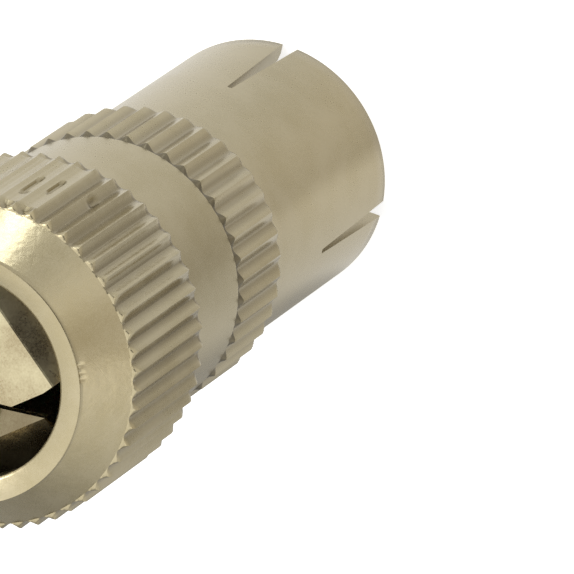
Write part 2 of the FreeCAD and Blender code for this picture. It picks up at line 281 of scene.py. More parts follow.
@dataclass(frozen=True)
class Knurl:
    """Even cells round a turned piece, each some columns of points wide; one cell's middle is on +X."""

    count: int
    columns: int
    foot: float

    def holds(self, place: Vector, column: int, low: float, high: float) -> bool:
        """Whether a point outside the foot radius lies on a column and between two heights.

        Args:
            place: The point.
            column: Columns from the middle of the cell, to either side.
            low: Lower height.
            high: Upper height.

        Returns:
            True where it does.
        """
        if not low < place.z < high or place.xy.length <= self.foot:
            return False
        pitch = 360.0 / self.count
        step = pitch / self.columns
        turn = bearing(place) % pitch
        return abs(min(turn, pitch - turn) - column * step) < COLUMN_REACH * step

    def cell(self, place: Vector) -> int:
        """Number of the cell that a point lies in, counted from +X."""
        return round(bearing(place) % 360.0 * self.count / 360.0) % self.count


@dataclass(frozen=True)
class Spot:
    """A small oval place on a turned piece: its middle, its reach to each side and how deep it is dented."""

    azimuth: float
    height: float
    half_turn: float
    half_length: float
    depth: float = 0.0

    def holds(self, place: Vector, share: float = 1.0) -> bool:
        """Whether a point lies inside the spot.

        Args:
            place: The point.
            share: Share of the spot's outline that counts.

        Returns:
            True where it does.
        """
        turn = (bearing(place) - self.azimuth) / self.half_turn
        rise = (place.z - self.height) / self.half_length
        return turn ** 2 + rise ** 2 < share ** 2


# Shader building blocks


class Wiring:
    """Adds nodes to a tree and joins them."""

    def __init__(self, tree: bpy.types.NodeTree) -> None:
        """Keep the tree that the nodes go into."""
        self.tree = tree

    def node(self, kind: str, **settings: object) -> bpy.types.Node:
        """Add one node.

        Args:
            kind: Type name of the node.
            **settings: Its properties.

        Returns:
            The node.
        """
        made = self.tree.nodes.new(kind)
        for name, value in settings.items():
            setattr(made, name, value)
        return made

    def join(self, source: bpy.types.NodeSocket, target: bpy.types.NodeSocket) -> None:
        """Wire one socket to another."""
        self.tree.links.new(source, target)

    def feed(self, target: bpy.types.NodeSocket, value: object) -> None:
        """Wire a socket, or set it where the value is a plain one.

        Args:
            target: The socket.
            value: What goes into it.
        """
        if isinstance(value, bpy.types.NodeSocket):
            self.join(value, target)
        else:
            target.default_value = value

    def math(self, operation: str, *values: object) -> bpy.types.NodeSocket:
        """One step of arithmetic.

        Args:
            operation: Name of the step.
            *values: Sockets or numbers.

        Returns:
            The result.
        """
        step = self.node("ShaderNodeMath", operation=operation)
        for target, value in zip(step.inputs, values):
            self.feed(target, value)
        return step.outputs[0]

    def weigh(self, first: object, share: float, second: object) -> bpy.types.NodeSocket:
        """A share of one value and the rest of the other."""
        rest = self.math("MULTIPLY", second, 1.0 - share)
        return self.math("ADD", self.math("MULTIPLY", first, share), rest)

    def place(self) -> bpy.types.NodeSocket:
        """The point's place on the object."""
        return self.node("ShaderNodeTexCoord").outputs["Object"]

    def parts(self, place: bpy.types.NodeSocket) -> bpy.types.NodeOutputs:
        """Take a place or a direction apart.

        Args:
            place: The place or the direction.

        Returns:
            Its X, Y and Z.
        """
        made = self.node("ShaderNodeSeparateXYZ")
        self.join(place, made.inputs[0])
        return made.outputs

    def radius(self, parts: bpy.types.NodeOutputs) -> bpy.types.NodeSocket:
        """Distance from the axis, from the parts of a place."""
        squares = [self.math("POWER", parts[axis], 2.0) for axis in ("X", "Y")]
        return self.math("SQRT", self.math("ADD", *squares))

    def noise(self, place: object, scale: float, detail: float = 3.0,
              rough: float = 0.5) -> bpy.types.NodeSocket:
        """Cloudy noise.

        Args:
            place: Where it is read.
            scale: How fine it is.
            detail: How many finer layers it has.
            rough: How strong those layers are.

        Returns:
            From 0 to 1.
        """
        made = self.node("ShaderNodeTexNoise")
        self.feed(made.inputs["Vector"], place)
        made.inputs["Scale"].default_value = scale
        made.inputs["Detail"].default_value = detail
        made.inputs["Roughness"].default_value = rough
        return made.outputs["Fac"]

    def band(self, value: object, low: object, high: object, start: float = 0.0,
             end: float = 1.0) -> bpy.types.NodeSocket:
        """Stretch a value smoothly from one range to another.

        Args:
            value: The value.
            low: Where its range starts.
            high: Where its range ends.
            start: The result at the low end and below.
            end: The result at the high end and above.

        Returns:
            The result.
        """
        made = self.node("ShaderNodeMapRange", interpolation_type="SMOOTHSTEP")
        limits = {"Value": value, "From Min": low, "From Max": high, "To Min": start, "To Max": end}
        for name, number in limits.items():
            self.feed(made.inputs[name], number)
        return made.outputs["Result"]

    def blend(self, share: object, first: object, second: object) -> bpy.types.NodeSocket:
        """Mix two colours.

        Args:
            share: How much of the second there is.
            first: A colour or a socket.
            second: A colour or a socket.

        Returns:
            The mixed colour.
        """
        made = self.node("ShaderNodeMix", data_type="RGBA")
        self.feed(made.inputs[0], share)
        for target, colour in ((made.inputs[6], first), (made.inputs[7], second)):
            self.feed(target, colour if isinstance(colour, bpy.types.NodeSocket) else (*colour, 1.0))
        return made.outputs[2]

    def bump(self, height: bpy.types.NodeSocket, strength: float, depth: float) -> bpy.types.NodeSocket:
        """Turn a height into normals.

        Args:
            height: The height, about 0 to 1.
            strength: How much of it shows.
            depth: Its full depth, in millimetres.

        Returns:
            The normals.
        """
        made = self.node("ShaderNodeBump")
        made.inputs["Strength"].default_value = strength
        made.inputs["Distance"].default_value = depth * MM
        self.join(height, made.inputs["Height"])
        return made.outputs["Normal"]

    def straight_look(self, path: bpy.types.Node) -> bpy.types.NodeSocket:
        """1 where the camera looks straight or through something clear, from a Light Path node."""
        return self.math("MAXIMUM", path.outputs["Is Camera Ray"], path.outputs["Is Transmission Ray"])


def new_material(name: str) -> tuple[bpy.types.Material, Wiring, bpy.types.Node]:
    """A material with its first shader.

    Args:
        name: Name of the material.

    Returns:
        The material, the wiring of its nodes and its Principled shader.
    """
    material = bpy.data.materials.new(name)
    material.use_nodes = True
    return material, Wiring(material.node_tree), material.node_tree.nodes["Principled BSDF"]


def new_group(name: str, inputs: Sequence[str], outputs: Sequence[str]) -> tuple[bpy.types.NodeTree, Wiring]:
    """An empty node group with number sockets.

    Args:
        name: Name of the group.
        inputs: Names of its inputs.
        outputs: Names of its outputs.

    Returns:
        The group and the wiring of its inside.
    """
    group = bpy.data.node_groups.new(name, "ShaderNodeTree")
    for socket in inputs:
        group.interface.new_socket(socket, in_out="INPUT", socket_type="NodeSocketFloat")
    for socket in outputs:
        group.interface.new_socket(socket, in_out="OUTPUT", socket_type="NodeSocketFloat")
    return group, Wiring(group)


def make_plating_group() -> bpy.types.NodeTree:
    """Nickel plate on a die casting: clouds, fine grain, dents, turned lines and stray scratches.

    Returns:
        A group that puts out a tone, a roughness and a height, each about 0 to 1 before the dents.
    """
    unroll_radius = 6.0
    scratch_leans = (0.35, 1.25, 2.3)
    scratch_stretch = 22.0
    group, wire = new_group("plating", ("Turned", "Scratched", "Dented"), ("Tone", "Rough", "Height"))
    inlet = wire.node("NodeGroupInput")
    outlet = wire.node("NodeGroupOutput")
    place = wire.place()
    clouds = wire.noise(place, 420.0, 5.0, 0.6)
    grain = wire.noise(place, 11000.0, 3.0, 0.6)
    dents = wire.noise(place, 2400.0, 2.0, 0.5)

    parts = wire.parts(place)
    radius = wire.radius(parts)
    lathe_place = wire.node("ShaderNodeCombineXYZ")
    wire.join(radius, lathe_place.inputs["X"])
    wire.join(wire.math("MULTIPLY", parts["X"], 0.012), lathe_place.inputs["Y"])
    wire.join(parts["Z"], lathe_place.inputs["Z"])
    lines = wire.noise(lathe_place.outputs[0], 9000.0, 2.0, 0.7)

    unrolled = wire.node("ShaderNodeCombineXYZ")
    turned = wire.math("ARCTAN2", parts["Y"], parts["X"])
    wire.join(wire.math("MULTIPLY", turned, unroll_radius * MM), unrolled.inputs["X"])
    wire.join(wire.math("SUBTRACT", parts["Z"], radius), unrolled.inputs["Y"])
    scored = []
    for lean in scratch_leans:
        slant = wire.node("ShaderNodeMapping", vector_type="TEXTURE")
        slant.inputs["Rotation"].default_value = (0.0, 0.0, lean)
        slant.inputs["Scale"].default_value = (1.0, scratch_stretch, 1.0)
        wire.join(unrolled.outputs[0], slant.inputs["Vector"])
        streaks = wire.noise(slant.outputs[0], 7000.0, 1.0, 0.4)
        scored.append(wire.band(streaks, 0.70, 0.76))
    scratches = wire.math("MAXIMUM", wire.math("MAXIMUM", scored[0], scored[1]), scored[2])
    worn = wire.math("MULTIPLY", scratches, inlet.outputs["Scratched"])

    wire.join(wire.weigh(clouds, 0.7, grain), outlet.inputs["Tone"])
    rough = wire.math("SUBTRACT", wire.weigh(clouds, 0.6, grain), wire.math("MULTIPLY", worn, 0.3))
    wire.join(rough, outlet.inputs["Rough"])
    height = wire.math("MULTIPLY", grain, 0.45)
    reliefs = ((lines, inlet.outputs["Turned"]), (worn, -0.8), (dents, inlet.outputs["Dented"]))
    for relief, share in reliefs:
        height = wire.math("ADD", height, wire.math("MULTIPLY", relief, share))
    wire.join(height, outlet.inputs["Height"])
    return group


def make_recess_group() -> bpy.types.NodeTree:
    """Where shade is painted on plate: 1 inside the inner radius, 0 outside the outer one and past the two
    heights.

    Returns:
        The group; its two radii and its two heights are in metres.
    """
    group, wire = new_group("recess", ("Inner", "Outer", "Foot", "Top"), ("Mask",))
    inlet = wire.node("NodeGroupInput")
    outlet = wire.node("NodeGroupOutput")
    parts = wire.parts(wire.place())
    deep = wire.band(wire.radius(parts), inlet.outputs["Inner"], inlet.outputs["Outer"], 1.0, 0.0)
    below = wire.math("LESS_THAN", parts["Z"], inlet.outputs["Top"])
    above = wire.math("GREATER_THAN", parts["Z"], inlet.outputs["Foot"])
    wire.join(wire.math("MULTIPLY", deep, wire.math("MULTIPLY", below, above)), outlet.inputs["Mask"])
    return group


@dataclass(frozen=True)
class PaintedShade:
    """Painted shade on plate: a darker colour inside the outer radius, between two heights, full at the inner
    radius.
    """

    inner: float
    outer: float
    foot: float
    top: float
    share: float
    colour: Colour


@dataclass(frozen=True)
class Plated:
    """Plated metal: its colour, its painted shade and how it was worked."""

    name: str
    bright: Colour
    dull: Colour
    painted_shades: tuple[PaintedShade, ...] = ()
    roughness: tuple[float, float] = (0.22, 0.34)
    metallic: float = 0.95
    turned: float = 0.25
    scratched: float = 0.3
    dented: float = 0.0
    bump: float = 0.25
    depth: float = 0.006

    def make(self, plating: bpy.types.NodeTree, recess: bpy.types.NodeTree) -> bpy.types.Material:
        """Build the material.

        Args:
            plating: The group with the plate's tone, roughness and height.
            recess: The group that masks where shade is painted, below a radius.

        Returns:
            The material.
        """
        material, wire, shader = new_material(self.name)
        plate = wire.node("ShaderNodeGroup", node_tree=plating)
        plate.inputs["Turned"].default_value = self.turned
        plate.inputs["Scratched"].default_value = self.scratched
        plate.inputs["Dented"].default_value = self.dented
        colour = wire.blend(wire.band(plate.outputs["Tone"], 0.3, 0.7), self.dull, self.bright)
        # Each painted shade darkens the colour where its mask holds, in place of the shade that falls there.
        for patch in self.painted_shades:
            deep = wire.node("ShaderNodeGroup", node_tree=recess)
            limits = {"Inner": patch.inner, "Outer": patch.outer, "Foot": patch.foot, "Top": patch.top}
            for socket, length in limits.items():
                deep.inputs[socket].default_value = length * MM
            share = wire.math("MULTIPLY", deep.outputs["Mask"], patch.share)
            colour = wire.blend(share, colour, patch.colour)
        wire.join(colour, shader.inputs["Base Color"])
        wire.join(wire.band(plate.outputs["Rough"], 0.25, 0.75, *self.roughness), shader.inputs["Roughness"])
        shader.inputs["Metallic"].default_value = self.metallic
        wire.join(wire.bump(plate.outputs["Height"], self.bump, self.depth), shader.inputs["Normal"])
        return material


@dataclass(frozen=True)
class Moulded:
    """Moulded plastic with a faint grain and flow marks."""

    name: str
    light: Colour
    dark: Colour
    roughness: tuple[float, float] = (0.35, 0.5)
    subsurface: float = 0.3
    scatter: float = 0.5
    bump: float = 0.2
    depth: float = 0.01

    def make(self) -> bpy.types.Material:
        """Build the material.

        Returns:
            The material.
        """
        material, wire, shader = new_material(self.name)
        place = wire.place()
        flow = wire.noise(place, 700.0, 4.0, 0.55)
        grain = wire.noise(place, 9000.0, 2.0, 0.5)
        wire.join(wire.blend(wire.band(flow, 0.35, 0.7), self.light, self.dark), shader.inputs["Base Color"])
        wire.join(wire.band(grain, 0.3, 0.7, *self.roughness), shader.inputs["Roughness"])
        shader.inputs["Subsurface Weight"].default_value = self.subsurface
        shader.inputs["Subsurface Scale"].default_value = self.scatter * MM
        wire.join(wire.bump(grain, self.bump, self.depth), shader.inputs["Normal"])
        return material


# The sub-assemblies


@dataclass
class Sleeve:
    """Slotted sleeve, knurled ring, neck and threaded tail: one casting with a wound thread."""

    material: bpy.types.Material
    sleeve_radius: float = 5.5
    bore_radius: float = 4.8
    rim_round: float = 0.06
    rim_middle: float = 0.018
    mouth_lead: float = 0.25
    sleeve_length: float = 11.8
    sleeve_rows: int = 12
    socket_depth: float = 11.0
    flange_back: float = 12.0
    flange_bore: float = 3.4
    chamber_radius: float = 4.65
    ring_front: float = 11.9
    ring_slope: float = 0.6
    slope_lead: float = 0.05
    slope_power: float = 1.3
    ring_radius: float = 6.05
    ring_back: float = 16.35
    knurl: Knurl = Knurl(42, 12, 5.2)
    groove_depth: float = 0.27
    groove_overrun: float = 0.12
    nose_rows: tuple[float, ...] = (
        11.87, 11.95, 12.02, 12.07, 12.12, 12.17, 12.22, 12.28, 12.35, 12.43)
    ring_shares: tuple[float, ...] = (0.0, 0.33, 0.66, 0.9)
    ring_end: Pairs = ((16.22, 6.05), (16.24, 6.035), (16.43, 5.885), (16.46, 5.87))
    neck_radius: float = 5.87
    neck_taper: float = 0.15
    neck_back: float = 22.65
    neck_rows: tuple[float, ...] = (0.0, 0.03, 0.08, 0.2)
    neck_shares: tuple[float, ...] = (0.25, 0.5, 0.75, 0.99, 1.0)
    core_radius: float = 5.0
    tail_back: float = 27.35
    tail_bevel: float = 0.15
    thread_radius: float = 5.4
    thread_sink: float = 0.05
    thread_start: float = 0.05
    thread_pitch: float = 0.75
    thread_foot: float = 0.82
    thread_crest: float = 0.22
    thread_turns: int = 5
    thread_columns: int = 96
    slot_count: int = 4
    slot_mouth: float = 0.7
    slot_end: float = 0.2
    slot_length: float = 6.5
    saw_margin: float = 0.8
    saw_drop: float = 1.0
    crease: float = 32.0

    def outline(self) -> Outline:
        """The turned section, from the outer rim round to the bore.

        Returns:
            Radius and height of each ring after the first.
        """
        rows: Outline = [(self.sleeve_radius - self.rim_middle, self.rim_middle),
                         (self.sleeve_radius, self.rim_round)]
        step = self.sleeve_length / self.sleeve_rows
        rows += [(self.sleeve_radius, step * row) for row in range(1, self.sleeve_rows + 1)]
        rows += [(self.slope_radius(height), height) for height in self.nose_rows]
        rows += [(self.ring_radius, height) for height in self.ring_rows()]
        rows += [(radius, height) for height, radius in self.ring_end]
        rows += [(self.neck_radius, self.ring_back + self.groove_overrun + past) for past in self.neck_rows]
        length = self.neck_back - self.ring_back
        rows += [(self.neck_radius - self.neck_taper * share, self.ring_back + length * share)
                 for share in self.neck_shares]
        rows += [(self.core_radius, self.neck_back), (self.core_radius, self.tail_back - self.tail_bevel),
                 (self.core_radius - self.tail_bevel, self.tail_back), (self.chamber_radius, self.tail_back),
                 (self.chamber_radius, self.flange_back), (self.flange_bore, self.flange_back),
                 (self.flange_bore, self.socket_depth), (self.bore_radius, self.socket_depth)]
        rows += [(self.bore_radius, self.socket_depth - step * row) for row in range(1, self.sleeve_rows - 1)]
        rows += [(self.bore_radius, self.mouth_lead), (self.bore_radius + self.mouth_lead, 0.0),
                 (self.sleeve_radius - self.rim_round, 0.0)]
        return rows

    def slope_radius(self, height: float) -> float:
        """The soft slope from the sleeve up to the ring's crests.

        Args:
            height: Height above the rim.

        Returns:
            Its radius there.
        """
        share = (height - self.ring_front + self.slope_lead) / (self.ring_slope + self.slope_lead)
        rise = math.sin(min(max(share, 0.0), 1.0) * math.pi / 2) ** self.slope_power
        return self.sleeve_radius + (self.ring_radius - self.sleeve_radius) * rise

    def ring_rows(self) -> list[float]:
        """Heights of the rings between the grooves' noses and the back of the ring."""
        first = self.ring_front + self.ring_slope
        return [first + (self.ring_back - first) * share for share in self.ring_shares]

    def sink_grooves(self, work: Workpiece) -> None:
        """Scale the groove columns in, row by row, so that each groove has a round nose and bottom.

        Args:
            work: The turned casting, in edit mode.
        """
        rows = [(height, self.slope_radius(height)) for height in self.nose_rows]
        rows += [(height, self.ring_radius) for height in self.ring_rows()]
        rows += [*self.ring_end, (self.ring_back + self.groove_overrun, self.neck_radius)]
        half = self.knurl.columns // 2
        for height, radius in rows:
            low, high = height - ROW_REACH, height + ROW_REACH
            for column in range(half):
                floor = self.ring_radius - self.groove_depth * flute(column / half)
                if floor < radius - WELD:
                    work.pick(lambda place: self.knurl.holds(place, column, low, high))
                    scale_out(floor / radius)

    def slot_tool(self) -> bpy.types.Object:
        """One wedge for each slot, joined into a single cutter.

        Returns:
            The cutter.
        """
        bpy.ops.object.select_all(action="DESELECT")
        bpy.ops.mesh.primitive_cube_add(size=1.0)
        tool = bpy.context.object
        bpy.ops.object.mode_set(mode="EDIT")
        bpy.ops.mesh.select_all(action="SELECT")
        start = self.bore_radius - self.saw_margin
        reach = self.sleeve_radius + self.saw_margin - start
        length = self.slot_length + self.saw_drop
        flare = self.slot_mouth + (self.slot_mouth - self.slot_end) * self.saw_drop / self.slot_length
        bpy.ops.transform.resize(value=(reach * MM, flare * MM, length * MM))
        middle = ((start + reach / 2) * MM, 0.0, (length / 2 - self.saw_drop) * MM)
        bpy.ops.transform.translate(value=middle)
        select_points(tool, lambda place: place.z > 0.0)
        bpy.ops.transform.resize(value=(1.0, self.slot_end / flare, 1.0), center_override=(0.0, 0.0, 0.0))
        bpy.ops.mesh.select_all(action="SELECT")
        for _ in range(self.slot_count - 1):
            bpy.ops.mesh.duplicate()
            bpy.ops.transform.rotate(value=math.tau / self.slot_count, orient_axis="Z",
                                     center_override=(0.0, 0.0, 0.0))
        bpy.ops.object.mode_set(mode="OBJECT")
        return tool

    def build_casting(self) -> bpy.types.Object:
        """Turn the casting, sink its grooves and saw its slots.

        Returns:
            The finished object.
        """
        work = Workpiece("sleeve_casting", self.knurl.count * self.knurl.columns,
                         (self.sleeve_radius - self.rim_round, 0.0))
        work.turn(self.outline())
        self.sink_grooves(work)
        casting = work.done(self.crease)
        cut_away(casting, self.slot_tool())
        shade(self.crease)
        return casting

    def build_thread(self) -> bpy.types.Object:
        """Wind the thread: one section, carried round the tail by a screw modifier.

        Returns:
            The thread, sunk a little into the tail's core.
        """
        bpy.ops.object.select_all(action="DESELECT")
        bpy.ops.mesh.primitive_plane_add(size=1.0, rotation=(math.pi / 2, 0.0, 0.0))
        thread = bpy.context.object
        thread.name = "tail_thread"
        bpy.ops.object.transform_apply(location=True, rotation=True, scale=True)
        bpy.ops.object.mode_set(mode="EDIT")
        bpy.ops.mesh.select_all(action="SELECT")
        foot = self.core_radius - self.thread_sink
        base = self.thread_pitch * self.thread_foot
        bpy.ops.transform.resize(value=((self.thread_radius - foot) * MM, 1.0, base * MM))
        height = self.neck_back + self.thread_start + base / 2
        bpy.ops.transform.translate(value=((self.thread_radius + foot) / 2 * MM, 0.0, height * MM))
        select_points(thread, lambda place: place.x > self.core_radius)
        bpy.ops.transform.resize(value=(1.0, 1.0, self.thread_crest), center_override=(0.0, 0.0, height * MM))
        bpy.ops.object.mode_set(mode="OBJECT")
        wind = thread.modifiers.new("wind", "SCREW")
        wind.steps = self.thread_columns
        wind.render_steps = self.thread_columns
        wind.iterations = self.thread_turns
        wind.screw_offset = self.thread_pitch * MM
        wind.use_merge_vertices = False
        wind.use_smooth_shade = True
        apply_all(thread)
        bpy.ops.object.mode_set(mode="EDIT")
        weld_all()
        bpy.ops.object.mode_set(mode="OBJECT")
        shade(self.crease)
        return thread

    def build(self) -> None:
        """Make both pieces and put them in place of the plain node."""
        casting = self.build_casting()
        dress(casting, self.material, Body.SHELL)
        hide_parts("front_shell")
        thread = self.build_thread()
        dress(thread, self.material, Body.SHELL)


@dataclass
class ClampingNut:
    """Knurled nut with a rear cone and the cable hole, worn on one side."""

    material: bpy.types.Material
    front: float = 22.35
    front_bevel: float = 0.05
    ridge_back: float = 29.0
    back: float = 31.0
    valley_radius: float = 6.67
    crest_radius: float = 7.0
    knurl: Knurl = Knurl(54, 12, 6.65)
    front_rows: Pairs = ((0.02, 0.35), (0.06, 0.55), (0.13, 0.75), (0.23, 0.9), (0.36, 0.98), (0.5, 1.0))
    back_rows: Pairs = ((0.3, 1.0), (0.2, 0.95), (0.12, 0.85), (0.06, 0.7), (0.02, 0.52), (0.0, 0.4))
    body_step: float = 0.16
    cone_lead: tuple[float, float] = (0.01, 0.012)
    cone_rows: tuple[float, ...] = (0.06, 0.6, 1.2)
    lip_rows: tuple[float, ...] = (0.26, 0.17)
    lip_drop: float = 0.18
    lip_round: Pairs = ((0.05, 0.25), (0.0, 0.18), (-0.005, 0.02), (-0.03, 0.002), (-0.2, 0.033))
    face_radius: float = 5.27
    face_dish: float = 0.15
    hole_radius: float = 4.33
    hole_edge: float = 0.1
    hole_round: Pairs = ((0.02, -0.005), (-0.04, 0.03))
    hole_rows: tuple[float, ...] = (0.0, 0.3, 0.8)
    squeeze_length: float = 1.5
    thread_radius: float = 5.45
    mouth_radius: float = 6.15
    mouth_depth: float = 1.2
    mouth_bevel: float = 0.05
    least_ridge: float = 0.86
    varied_ends: tuple[float, float] = (0.1, 0.02)
    varied_height: float = 0.12
    worn_arc: tuple[float, float] = (-7.0, 27.0)
    worn_length: tuple[float, float] = (22.9, 28.4)
    worn_level: float = 0.9
    worn_fill: float = 0.55
    groove_fill: float = 0.2
    open_grooves: tuple[Spot, ...] = (Spot(3.33, 26.2, 1.0, 1.1), Spot(-3.33, 25.6, 1.0, 0.9))
    nicks: tuple[Spot, ...] = (
        Spot(-15.4, 25.0, 1.6, 0.45, 0.12), Spot(2.6, 27.15, 1.3, 0.12, 0.1),
        Spot(-65.3, 30.82, 1.2, 0.14, 0.08), Spot(-68.8, 30.82, 0.8, 0.14, 0.06),
        Spot(-71.4, 30.8, 1.4, 0.12, 0.07))
    nick_radius: float = 5.2
    nick_steps: tuple[float, ...] = (1.0, 0.6)
    crease: float = 34.0

    def outline(self) -> Outline:
        """The turned section, from the front round to the bore's mouth.

        Returns:
            Radius and height of each ring after the first.
        """
        rows: Outline = [(self.valley_radius, self.front + along) for along, _ in self.front_rows]
        start = self.front + self.front_rows[-1][0]
        length = self.ridge_back - self.back_rows[0][0] - start
        steps = int(length / self.body_step)
        rows += [(self.valley_radius, start + length * step / steps) for step in range(1, steps)]
        rows += [(self.valley_radius, self.ridge_back - along) for along, _ in self.back_rows]
        lip = self.back - self.lip_drop
        slope = (self.valley_radius - self.face_radius) / (lip - self.ridge_back)
        rows += [(self.valley_radius - self.cone_lead[0], self.ridge_back + self.cone_lead[1])]
        heights = [self.ridge_back + along for along in self.cone_rows]
        heights += [lip - along for along in self.lip_rows]
        rows += [(self.valley_radius - slope * (height - self.ridge_back), height) for height in heights]
        rows += [(self.face_radius + out, self.back - down) for out, down in self.lip_round]
        inner = self.hole_radius + self.hole_edge
        dish = self.back - self.face_dish
        rows += [(inner + out, dish - down) for out, down in self.hole_round]
        rows += [(self.hole_radius, dish - self.hole_edge - along) for along in self.hole_rows]
        rows += [(self.thread_radius, rows[-1][1] - self.squeeze_length),
                 (self.thread_radius, self.front + self.mouth_depth),
                 (self.mouth_radius, self.front + self.mouth_depth),
                 (self.mouth_radius, self.front + self.mouth_bevel),
                 (self.mouth_radius + self.mouth_bevel, self.front),
                 (self.valley_radius - self.front_bevel, self.front)]
        return rows

    def section(self, column: int) -> float:
        """Height of a ridge above the valley at a column, as a share of its full height."""
        return 1.0 - flute(1.0 - column / (self.knurl.columns / 2))

    def raise_ridges(self, work: Workpiece) -> None:
        """Scale the ridge columns out, row by row, so that each ridge has a round back and nose.

        Args:
            work: The turned nut, in edit mode.
        """
        spans = [(self.front + self.front_rows[-1][0], self.ridge_back - self.back_rows[0][0], 1.0)]
        spans += [(self.front + along, self.front + along, share) for along, share in self.front_rows[:-1]]
        spans += [(self.ridge_back - along, self.ridge_back - along, share)
                  for along, share in self.back_rows[1:]]
        height = self.crest_radius - self.valley_radius
        for low, high, share in spans:
            for column in range(self.knurl.columns // 2):
                work.pick(lambda place: self.knurl.holds(place, column, low - ROW_REACH, high + ROW_REACH))
                scale_out((self.valley_radius + height * share * self.section(column)) / self.valley_radius)

    def vary_ridges(self, work: Workpiece) -> None:
        """Make some ridges a little lower, as a worn knurling wheel leaves them.

        Args:
            work: The nut with its ridges, in edit mode.
        """
        draw = random.Random(SEED)
        low = self.front + self.varied_ends[0]
        high = self.ridge_back - self.varied_ends[1]
        least = self.valley_radius + self.varied_height
        for ridge in range(self.knurl.count):
            share = draw.uniform(self.least_ridge, 1.0)
            ratio = 1.0 - (1.0 - share) * (self.crest_radius - self.valley_radius) / self.crest_radius
            work.pick(lambda place: low < place.z < high and place.xy.length > least
                      and self.knurl.cell(place) == ridge)
            scale_out(ratio)

    def wear_ridges(self, work: Workpiece) -> None:
        """Fill the worn arc's grooves, less in the stretches that stay open, and press the nicks in.

        Args:
            work: The nut with its ridges, in edit mode.
        """
        start, end = self.worn_arc
        low, high = self.worn_length
        height = self.crest_radius - self.valley_radius
        for column in range(self.knurl.columns // 2 + 1):
            section = self.section(column)
            for fill, opened in ((self.worn_fill, False), (self.groove_fill, True)):
                level = (fill + (1.0 - fill) * section) * self.worn_level
                if work.pick(lambda place: self.knurl.holds(place, column, low, high)
                             and start < bearing(place) < end
                             and opened == any(groove.holds(place) for groove in self.open_grooves)):
                    scale_out((self.valley_radius + height * level) / (self.valley_radius + height * section))
        for nick in self.nicks:
            for share in self.nick_steps:
                work.pick(lambda place: place.xy.length > self.nick_radius and nick.holds(place, share))
                scale_out(1.0 - nick.depth / len(self.nick_steps) / self.valley_radius)

    def build(self) -> None:
        """Make the nut and put it in place of the plain node."""
        work = Workpiece("clamping_nut", self.knurl.count * self.knurl.columns,
                         (self.valley_radius - self.front_bevel, self.front))
        work.turn(self.outline())
        self.raise_ridges(work)
        self.vary_ridges(work)
        self.wear_ridges(work)
        nut = work.done(self.crease)
        dress(nut, self.material, Body.NUT)
        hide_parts("rear_nut")


@dataclass
class CableClamp:
    """Stamped clamp: the node's own form with its sheet edges rounded over."""

    material: bpy.types.Material
    edge_round: float = 0.05
    edge_steps: int = 3
    flat_angle: float = 1.5
    fold_angle: float = 15.0
    crease: float = 30.0

    def build(self) -> None:
        """Copy the node, weld it, round its edges and put it in the node's place."""
        take_up(frame["nodes"]["cable_clamp"])
        bpy.ops.object.duplicate()
        clamp = bpy.context.object
        clamp.name = "stamped_clamp"
        bpy.ops.object.parent_clear(type="CLEAR_KEEP_TRANSFORM")
        bpy.ops.object.mode_set(mode="EDIT")
        bpy.ops.mesh.select_all(action="SELECT")
        bpy.ops.mesh.remove_doubles(threshold=WELD * MM)
        bpy.ops.mesh.dissolve_limited(angle_limit=math.radians(self.flat_angle))
        bpy.ops.object.mode_set(mode="OBJECT")
        soften = clamp.modifiers.new("edges", "BEVEL")
        soften.width = self.edge_round * MM
        soften.segments = self.edge_steps
        soften.limit_method = "ANGLE"
        soften.angle_limit = math.radians(self.fold_angle)
        apply_all(clamp)
        shade(self.crease)
        clamp.modifiers.new("level", "WEIGHTED_NORMAL")
        apply_all(clamp)
        dress(clamp, self.material, Body.CLAMP)
        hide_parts("cable_clamp")


# The studio


@dataclass(frozen=True)
class Lamp:
    """A soft square lamp that faces the connector; its distance and side are metres, its power watts."""

    name: str
    azimuth: float
    elevation: float
    distance: float
    side: float
    power: float
    colour: Colour

    def hang(self, aim: Vector) -> None:
        """Add the lamp to the scene.

        Args:
            aim: The point that it faces, in metres.
        """
        data = bpy.data.lights.new(self.name, "AREA")
        data.size = self.side
        data.energy = self.power
        data.color = self.colour
        lamp = bpy.data.objects.new(self.name, data)
        lamp.visible_camera = False
        bpy.context.scene.collection.objects.link(lamp)
        out = outward(self.azimuth, self.elevation)
        lamp.location = out * self.distance + aim
        lamp.rotation_euler = out.to_track_quat("Z", "Y").to_euler()


